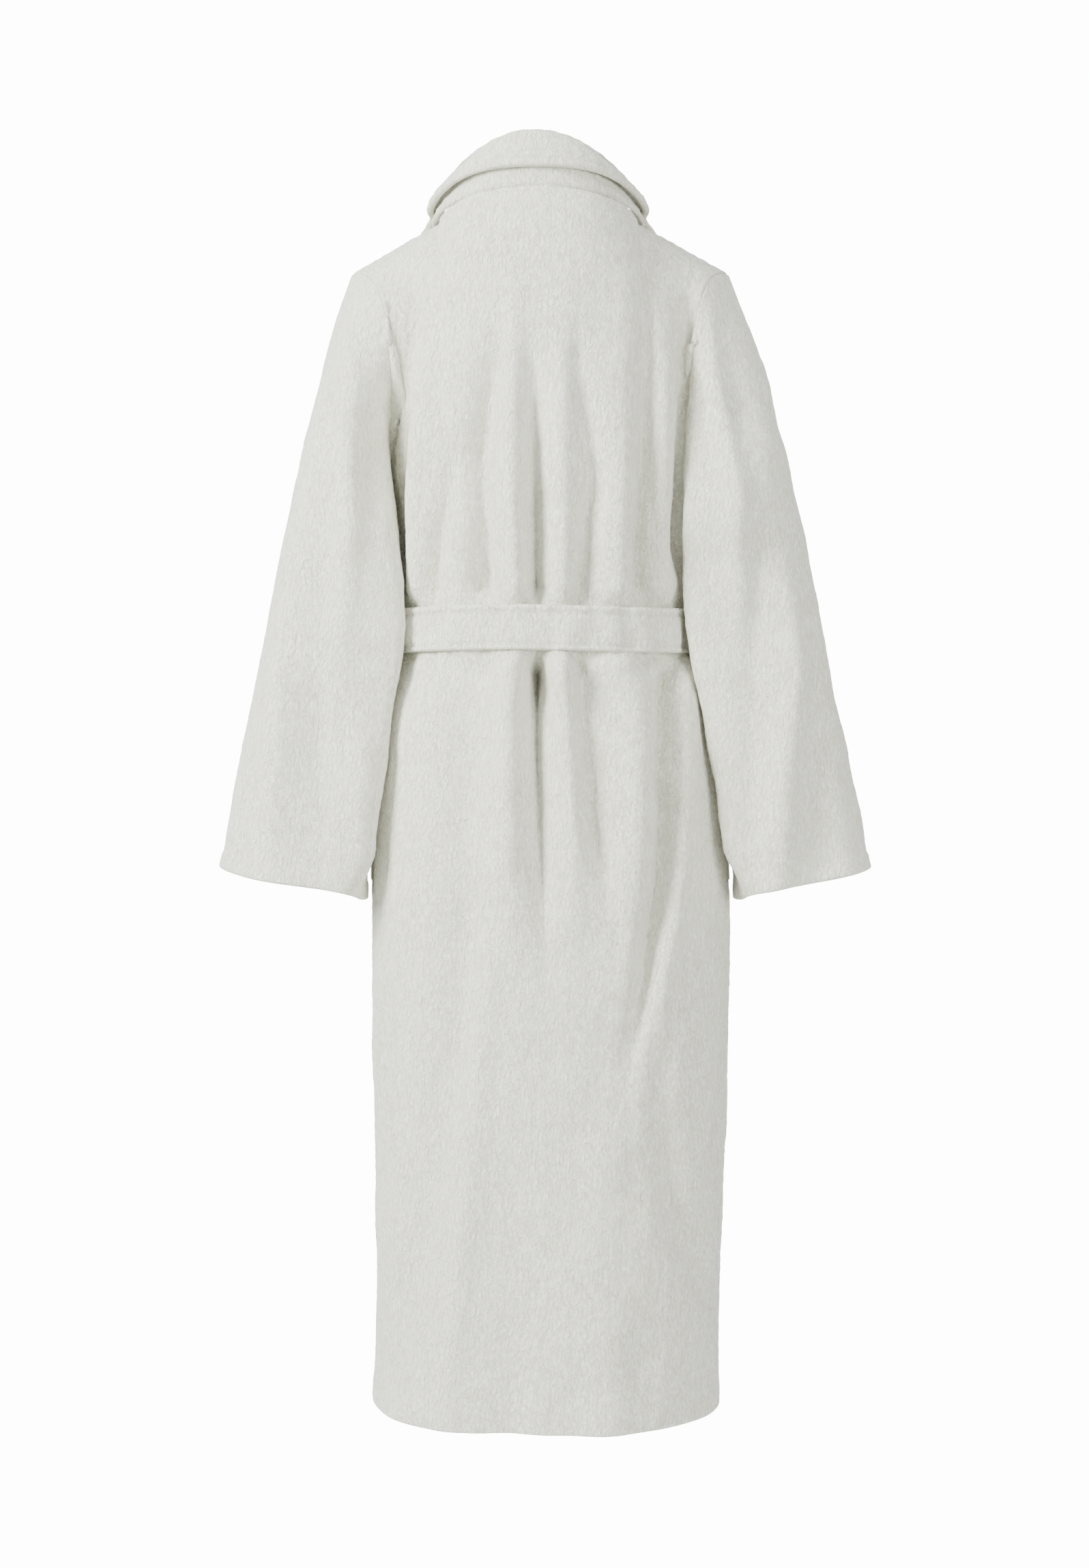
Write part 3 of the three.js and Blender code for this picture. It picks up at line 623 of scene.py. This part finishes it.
def lapel_cut(up, side):
    t = (2 - up) / (2 - LAPEL_END_UP / UNDERARM_UP)
    laid = float(ease(t / 0.3))
    wide = mix(SEAT, LAPEL_WIDTH, laid) - (LAPEL_WIDTH - LAPEL_TIP) * float(ease((t - 0.5) / 0.5))
    high = LAPEL / 2 + (SIDE_STAND - LAPEL) * (1 - laid)
    low = mix(SIDE_STAND - COLLAR_CLOTH / 2 - SIDE_FALL, LAPEL / 2, laid)
    cut = section(mix(4.6, 3.2, laid), high, wide, low, mix(math.pi / 5, math.pi / 2, laid), mix(-6.0, -4.0, laid),
                  10.0 * (1 - laid))
    where = front_edge(up) + (cut[:, 0] + mix(2.0, 0, laid)) / ACROSS_MM
    lift = overlap(side, np.maximum(where, front_edge(up)), up) + LAPEL_LOW + cut[:, 1]
    return body(side * where, up, -1, lift)


necks = np.linspace(0, 1, 34)
ups = 2 - (2 - LAPEL_END_UP / UNDERARM_UP) * np.linspace(0, 1, 120)[1:]
cuts = [lapel_cut(up, -1) for up in ups[::-1]] + [neck_cut(t, -1) for t in necks[::-1]]
cuts += [neck_cut(t, 1) for t in necks[1:]] + [lapel_cut(up, 1) for up in ups]
surface = np.stack(cuts, 1)
for _ in range(3):  # ease the join of neck and lapels
    surface[:, 1:-1] = surface[:, 1:-1] * 0.5 + (surface[:, :-2] + surface[:, 2:]) * 0.25
steps = np.vstack([np.linalg.norm(np.diff(surface, axis=0), axis=2), np.zeros((1, surface.shape[1]))])
from_edge = np.cumsum(steps[::-1], 0)[::-1]
edging = 1.6 * ease((TOPSTITCH + 1.5 - from_edge) / 4) - 1.8 * np.exp(-((from_edge - TOPSTITCH) / 1.5) ** 2)
collar, collar_outer = cloth("collar", surface, COLLAR_CLOTH + edging, outward=1, material=plush, rim=3.2)
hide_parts("shawl_collar")
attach(collar, "robe")

# ---- Belt ----
# A flat tube of the same fleece, turned through and stitched along both edges. It passes round
# the waist through two loops, is tied in a flat knot in front, and its two tails hang down.
BELT_CLOTH = 4.5
BAND_FRONT = FRONT[3] + OVER + LAPEL_LOW + LAPEL + LAY_GAP + BELT_CLOTH


def belt_edges(v):
    """Extra thickness across the belt: v runs 0 to 1 up its width."""
    mm = v * BELT_WIDTH
    ridge = 2.2 * np.exp(-((mm - BELT_WIDTH + 3.5) / 2.6) ** 2)
    ridge = ridge - 2.4 * np.exp(-((mm - BELT_WIDTH + 7.5) / 1.6) ** 2)
    return ridge + 1.5 * np.exp(-((mm - 2.6) / 2.2) ** 2) - 2.0 * np.exp(-((mm - 5.6) / 1.5) ** 2)


v = np.unique(np.hstack([np.array([0, 0.5, 1.3, 2.4]) / BELT_WIDTH, np.linspace(0, 1, 23)[1:-1],
                         1 - np.array([0, 0.5, 1.3, 2.4]) / BELT_WIDTH]))
turn, v = np.meshgrid(np.arange(230) / 230 * 4, v)
rear = turn < 2
across = np.where(rear, 1 - turn, turn - 3)
up = (BELT_UP + v * BELT_WIDTH) / UNDERARM_UP
stack = (OVER + LAPEL_LOW + LAPEL - CLOTH) * ease((0.85 - np.abs(across)) / 0.3)
lift = CLOTH + LAY_GAP + BELT_CLOTH / 2
surface = np.where(rear[..., None], body(across, up, 1, lift), body(across, up, -1, lift + stack))
surface[..., 2] += 1.2 * np.sin(surface[..., 0] / 47 + 0.6) * np.where(rear, 1, 0.4)
normal = facing_out(surface, True)
sag = 1.7 * curls(surface, 34.0, 31) - 1.6 * np.abs(np.sin(v * math.pi)) * 0.3
surface = surface - normal * sag[..., None]
band, band_outer = cloth("belt_round_waist", surface, BELT_CLOTH + belt_edges(v), ring=True, outward=-1,
                         material=plush, rim=2.6)
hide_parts("belt_band")
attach(band, "robe")

KNOT_WIDE, KNOT_HIGH, KNOT_DEEP = 58.0, 50.0, 22.0
pole, ring_turn = np.meshgrid(np.linspace(-1, 1, 41), np.arange(64) / 64 * 2 * math.pi, indexing="ij")


def superpower(value, power):
    return np.sign(value) * np.abs(value) ** power


lat = pole * math.pi / 2
kx = superpower(np.cos(lat), 0.55) * superpower(np.cos(ring_turn), 0.6)
kz = superpower(np.cos(lat), 0.55) * superpower(np.sin(ring_turn), 0.6)
ky = superpower(np.sin(lat), 0.75)
slant = kx * 0.8 + kz * 0.6
crease = 1 - 0.13 * np.exp(-((slant - 0.42) / 0.07) ** 2) - 0.13 * np.exp(-((slant + 0.42) / 0.07) ** 2)
crease -= 0.05 * np.exp(-((slant) / 0.05) ** 2)
shape = np.stack([kx * KNOT_WIDE / 2, ky * KNOT_DEEP / 2, kz * KNOT_HIGH / 2], -1) * crease[..., None]
shape = shape * (1 + 0.015 * curls(shape, 9.0, 3))[..., None]
shape += (0, -BAND_FRONT - 0.5 - KNOT_DEEP / 2, BELT_MID)
rows, columns = pole.shape
knot_faces = [(j * columns + i, (j + 1) * columns + i, (j + 1) * columns + (i + 1) % columns,
               j * columns + (i + 1) % columns) for j in range(rows - 1) for i in range(columns)]
knot_mesh = bpy.data.meshes.new("knot_of_belt")
knot_mesh.from_pydata((settle(shape.reshape(-1, 3)) / 1000 - (0, 0, HANGER)).tolist(), [], knot_faces)
made = bmesh.new()
made.from_mesh(knot_mesh)
bmesh.ops.remove_doubles(made, verts=made.verts, dist=1e-5)
bmesh.ops.recalc_face_normals(made, faces=made.faces)
made.to_mesh(knot_mesh)
made.free()
knot_mesh.polygons.foreach_set("use_smooth", [True] * len(knot_mesh.polygons))
knot = bpy.data.objects.new("knot_of_belt", knot_mesh)
bpy.context.scene.collection.objects.link(knot)
knot_mesh.materials.append(plush)
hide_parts("belt_knot")
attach(knot, "robe")

TAIL_LENGTH, TAIL_APART, TAIL_SPLAY = 400.0, 6.0, 0.05
TAIL_TOP = BELT_MID - KNOT_HIGH / 2 - 2.5
tail_front = 131.5
for name, side in (("tail_left", 1), ("tail_right", -1)):
    edge = np.array([0, 0.5, 1.3, 2.4])
    down = np.unique(np.hstack([edge, np.linspace(0, TAIL_LENGTH, 100)[1:-1], TAIL_LENGTH - edge]))[::-1]
    share = np.unique(np.hstack([edge / BELT_WIDTH, np.linspace(0, 1, 20)[1:-1], 1 - edge / BELT_WIDTH]))
    share, down = np.meshgrid(share, down)
    x = TAIL_APART + share * BELT_WIDTH + TAIL_SPLAY * down + 1.5 * np.sin(down / 60)
    wave = 1.5 * np.sin(down / 42 + side) * np.sin(share * 2 + side) * ease(down / 60)
    y = -tail_front - BELT_CLOTH / 2 - 1.2 + wave
    surface = np.stack([side * x, y, TAIL_TOP - down + 2 * (share - 0.5) * ease(down / 300)], -1)
    piece, outer = cloth(name, surface, BELT_CLOTH + belt_edges(share), outward=side, material=plush, rim=2.6)
    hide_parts("belt_" + name)
    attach(piece, "belt_" + name)

# A loop of doubled fleece beside each side seam holds the belt at its height.
LOOP_CLOTH = 2.0
for name, side in (("loop_left", 1), ("loop_right", -1)):
    heights = [BELT_UP - 9, BELT_UP - 2, BELT_UP + BELT_WIDTH + 2, BELT_UP + BELT_WIDTH + 9]
    lifts = np.array([5.2, 12.0, 12.0, 5.2])
    share, z = np.meshgrid(np.linspace(0.955, 0.999, 9), np.linspace(heights[0], heights[-1], 40))
    surface = body(side * share, z / UNDERARM_UP, 1, np.interp(z, heights, lifts))
    piece, _ = cloth(name, surface, LOOP_CLOTH, outward=-side, material=plush, pile=0.2)
    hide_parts("belt_" + name)
    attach(piece, "robe")

# ---- Pockets ----
# A patch of fleece on each front, stitched down at the sides and foot. Its top edge is turned over
# in a deep band and stands off, so a hand goes in from above.
POCKET_WIDE, POCKET_HIGH, POCKET_TOP, POCKET_MIDDLE = 125.0, 170.0, 690.0, 0.69
POCKET_CLOTH, POCKET_ROOM, POCKET_RIM = 3.0, 11.0, 0.16
POCKET_BAND = 30.0
POCKET_ROOM_LOW, POCKET_WAVE = 0.25, 0.15
QUARTER_GIRTH = math.pi / 4 * (WIDTH[1] + FRONT[1])
for name, side in (("pocket_left_patch", 1), ("pocket_right_patch", -1)):
    edge = np.array([0, 0.5, 1.3, 2.4])
    u = np.unique(np.hstack([edge / POCKET_WIDE, np.linspace(0, 1, 44)[1:-1], 1 - edge / POCKET_WIDE]))
    v = np.unique(np.hstack([edge / POCKET_HIGH, np.linspace(0, 1, 58)[1:-1], 1 - edge / POCKET_HIGH]))
    u, v = np.meshgrid(u, v)
    half_pocket = POCKET_WIDE / QUARTER_GIRTH / 2
    across = mix(POCKET_MIDDLE - half_pocket, POCKET_MIDDLE + half_pocket, u)
    z = POCKET_TOP - POCKET_HIGH * (1 - v)
    up = z / UNDERARM_UP
    room_in = POCKET_ROOM * ease(u / POCKET_RIM) * ease((1 - u) / POCKET_RIM)
    room_in = room_in * ease(v / POCKET_RIM) * mix(POCKET_ROOM_LOW, 1, v ** 2)
    room_in *= 1 - POCKET_WAVE + POCKET_WAVE * np.sin(u * 9 + side)
    lift = overlap(side, across, up) + CLOTH + 0.7 + room_in + POCKET_CLOTH / 2
    surface = body(side * across, up, -1, lift)
    from_top = (1 - v) * POCKET_HIGH
    band_here = 1.4 * ease((POCKET_BAND + 2 - from_top) / 4)
    band_here = band_here - 1.5 * np.exp(-((from_top - POCKET_BAND) / 1.6) ** 2)
    piece, outer = cloth(name, surface, POCKET_CLOTH + band_here, outward=side, material=plush, rim=2.0)
    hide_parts(name.replace("_patch", ""))
    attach(piece, "robe")

# ---- Tape, labels and hanging loop ----
# A cotton twill tape covers the neck seam inside, and holds a loop of the same tape. Two blank
# satin labels are stitched in: one under the tape, one in the side seam.
TWILL_RIB = 0.9  # mm between the ribs of the tape
twill, twill_out = new_material("cotton_twill_tape")
tree = twill.node_tree
where = add_node(tree, "ShaderNodeTexCoord")
ribs = add_node(tree, "ShaderNodeTexWave", {"Scale": 1000 / TWILL_RIB / 6.28, "Distortion": 0.6, "Detail": 2.0},
                {"Vector": where.outputs["Object"]}, bands_direction="DIAGONAL")
# Painted shade: the colour is darker in the grooves between the ribs, where the bump is low.
shade = add_node(tree, "ShaderNodeMix", {6: linear("#d8d5c9"), 7: linear("#efede4")},
                 {0: ribs.outputs["Fac"]}, data_type="RGBA")
raised = add_node(tree, "ShaderNodeBump", {"Strength": 0.5, "Distance": 0.0003},
                  {"Height": ribs.outputs["Fac"]})
shader = add_node(tree, "ShaderNodeBsdfPrincipled", {"Roughness": 0.85, "Sheen Weight": 0.1},
                  {"Base Color": shade.outputs[2], "Normal": raised.outputs[0]})
tree.links.new(shader.outputs[0], twill_out.inputs[0])

SATIN_YARN = 0.5  # mm, drawn coarser than woven so that it shows
satin, satin_out = new_material("woven_satin_label")
tree = satin.node_tree
where = add_node(tree, "ShaderNodeTexCoord")
yarn = add_node(tree, "ShaderNodeTexWave", {"Scale": 1000 / SATIN_YARN / 6.28, "Distortion": 0.3},
                {"Vector": where.outputs["Object"]}, bands_direction="Z")
shade = add_node(tree, "ShaderNodeMix", {6: linear("#e9e7e1"), 7: linear("#f8f7f4")},
                 {0: yarn.outputs["Fac"]}, data_type="RGBA")
shader = add_node(tree, "ShaderNodeBsdfPrincipled", {"Roughness": 0.42, "Sheen Weight": 0.15},
                  {"Base Color": shade.outputs[2]})
tree.links.new(shader.outputs[0], satin_out.inputs[0])

TAPE_THICK, LABEL_THICK, LINING_GAP = 1.2, 0.9, 0.8
small_pieces = [
    # name, node, across, up, thickness, slot, material, flat size
    ("neck_tape_cloth", "neck_tape", (-1 / 3, 1 / 3), (1.931, 1.994), TAPE_THICK, "cotton_tape", twill, (0.17, 0.010), 0.8),
    ("neck_label_cloth", "neck_label", (-1 / 12, 1 / 12), (1.781, 1.862), LABEL_THICK, "satin_label", satin,
     (0.058, 0.014), 1.0),
    ("care_label_cloth", "care_label", (0.75, 0.833), (160 / UNDERARM_UP, 215 / UNDERARM_UP), LABEL_THICK,
     "satin_label", satin, (0.020, 0.055), 1.0),
]
for name, node, wide, high, thick, slot, material, flat, share_cut in small_pieces:
    share, up = np.meshgrid(np.linspace(*wide, 40), np.linspace(*high, 16))
    surface = body(share, up, 1, -LINING_GAP - thick / 2)
    piece, _ = cloth(name, surface, thick, outward=-1, material=material, pile=0.03)
    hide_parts(node)
    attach(piece, "robe")

LOOP_WIDE, LOOP_DROP, LOOP_STRAP, LOOP_THICK, LOOP_BEND = 62.0, 34.0, 8.0, 3.0, 7.0
LOOP_Y, LOOP_TOP = 81.9, NECK_UP + 17.6
end, low, bend = (LOOP_WIDE - LOOP_STRAP) / 2, LOOP_STRAP / 2 - LOOP_DROP, LOOP_BEND
angles = np.linspace(0, math.pi / 2, 10)
corner = [(-end + bend - bend * math.cos(a), low + bend - bend * math.sin(a)) for a in angles]
path = [(-end, z) for z in np.linspace(0, low + bend, 14)] + corner[1:]
path += [(x, low) for x in np.linspace(-end + bend, end - bend, 24)[1:]]
path += [(-x, z) for x, z in corner[::-1][1:]] + [(end, z) for z in np.linspace(low + bend, 0, 14)[1:]]
path = np.array(path)
along = np.gradient(path, axis=0)
along /= np.linalg.norm(along, axis=1, keepdims=True)
side_way = np.stack([-along[:, 1], along[:, 0]], -1)
share = np.linspace(-0.5, 0.5, 9) * LOOP_STRAP
flat_grid = path[:, None] + side_way[:, None] * share[None, :, None]
level = np.full(flat_grid.shape[:2], LOOP_Y)
surface = np.stack([flat_grid[..., 0], level, LOOP_TOP + flat_grid[..., 1]], -1)
loop, _ = cloth("hanging_loop_tape", surface, LOOP_THICK, outward=1, material=twill, pile=0.05)
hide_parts("hanging_loop")
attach(loop, "hanging_loop")

# ---- Stitching ----
# Lockstitch in spun polyester thread, sunk into the pile, along hems, belt and collar edge.
# Each stitch is a short rounded bar.
STITCH_PITCH, STITCH_LENGTH, THREAD = 0.0038, 0.0029, 0.0007
thread, thread_out = new_material("spun_polyester_thread")
strand = add_node(thread.node_tree, "ShaderNodeTexCoord")
twist = add_node(thread.node_tree, "ShaderNodeTexNoise", {"Scale": 2500.0},
                 {"Vector": strand.outputs["Object"]})
shade = add_node(thread.node_tree, "ShaderNodeMix", {6: linear("#d6d4c8"), 7: linear("#ecebe4")},
                 {0: twist.outputs["Fac"]}, data_type="RGBA")
shader = add_node(thread.node_tree, "ShaderNodeBsdfPrincipled", {"Roughness": 0.6},
                  {"Base Color": shade.outputs[2]})
thread.node_tree.links.new(shader.outputs[0], thread_out.inputs[0])

tree = bpy.data.node_groups.new("running_stitches", "GeometryNodeTree")
tree.interface.new_socket("Lines", in_out="INPUT", socket_type="NodeSocketGeometry")
for label in ("Pitch", "Length", "Thread"):
    tree.interface.new_socket(label, in_out="INPUT", socket_type="NodeSocketFloat")
tree.interface.new_socket("Thread finish", in_out="INPUT", socket_type="NodeSocketMaterial")
tree.interface.new_socket("Stitches", in_out="OUTPUT", socket_type="NodeSocketGeometry")
given = add_node(tree, "NodeGroupInput")
curve = add_node(tree, "GeometryNodeMeshToCurve", {}, {0: given.outputs["Lines"]})
even = add_node(tree, "GeometryNodeResampleCurve", {},
                {"Curve": curve.outputs[0], "Length": given.outputs["Pitch"]}, mode="LENGTH")
bar = add_node(tree, "GeometryNodeMeshIcoSphere", {"Radius": 0.5, "Subdivisions": 1})
tangent = add_node(tree, "GeometryNodeInputTangent")
turned = add_node(tree, "FunctionNodeAlignRotationToVector", {}, {"Vector": tangent.outputs[0]}, axis="X")
size = add_node(tree, "ShaderNodeCombineXYZ", {}, {0: given.outputs["Length"], 1: given.outputs["Thread"],
                                                   2: given.outputs["Thread"]})
placed = add_node(tree, "GeometryNodeInstanceOnPoints", {},
                  {"Points": even.outputs[0], "Instance": bar.outputs[0], "Rotation": turned.outputs[0],
                   "Scale": size.outputs[0]})
solid = add_node(tree, "GeometryNodeRealizeInstances", {}, {0: placed.outputs[0]})
coated = add_node(tree, "GeometryNodeSetMaterial", {}, {"Geometry": solid.outputs[0],
                                                        "Material": given.outputs["Thread finish"]})
add_node(tree, "NodeGroupOutput", {}, {0: coated.outputs[0]})


def stitched(name, lines, body_name):
    """Makes the stitches along some lines and lets them ride on a body."""
    points, edges = [], []
    for line in lines:
        line = settle(np.asarray(line)) / 1000 - (0, 0, HANGER)
        edges += [(len(points) + k, len(points) + k + 1) for k in range(len(line) - 1)]
        points += line.tolist()
    guide_mesh = bpy.data.meshes.new(name + "_guide")
    guide_mesh.from_pydata(points, edges, [])
    guide = bpy.data.objects.new(name + "_guide", guide_mesh)
    bpy.context.scene.collection.objects.link(guide)
    sewing = guide.modifiers.new("sewing", "NODES")
    sewing.node_group = tree
    ids = {item.name: item.identifier for item in tree.interface.items_tree if item.in_out == "INPUT"}
    sewing[ids["Pitch"]] = STITCH_PITCH
    sewing[ids["Length"]] = STITCH_LENGTH
    sewing[ids["Thread"]] = THREAD
    sewing[ids["Thread finish"]] = thread
    mesh = bpy.data.meshes.new_from_object(guide.evaluated_get(bpy.context.evaluated_depsgraph_get()))
    bpy.data.objects.remove(guide)
    mesh.name = name
    piece = bpy.data.objects.new(name, mesh)
    bpy.context.scene.collection.objects.link(piece)
    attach(piece, body_name)
    return piece


def row_at(outer, up):
    """The row of a grid of outer points nearest to a height."""
    return outer[np.abs(outer[..., 2].mean(1) - up).argmin()]


robe_lines = [row_at(back_outer, HEM_BAND - 4)[2:-2]]
robe_lines += [row_at(front_outer[side], HEM_BAND - 4)[2:-2] for side in (1, -1)]
robe_lines += [row_at(band_outer, BELT_UP + 5.6), row_at(band_outer, BELT_UP + BELT_WIDTH - 7.5)]
robe_lines.append(np.stack([[np.interp(-TOPSTITCH, -from_edge[:, k], collar_outer[:, k, axis]) for axis in range(3)]
                            for k in range(collar_outer.shape[1])]))
stitched("stitches_on_robe", robe_lines, "robe")
for side, body_name in ((1, "sleeve_left"), (-1, "sleeve_right")):
    outer = sleeve_outer[side]
    run = np.linalg.norm(np.diff(outer, axis=0), axis=2).mean(1)[::-1].cumsum()[::-1]
    line = outer[np.abs(run - SLEEVE_HEM + 2).argmin()]
    stitched("stitches_on_" + body_name, [np.vstack([line, line[:1]])], body_name)
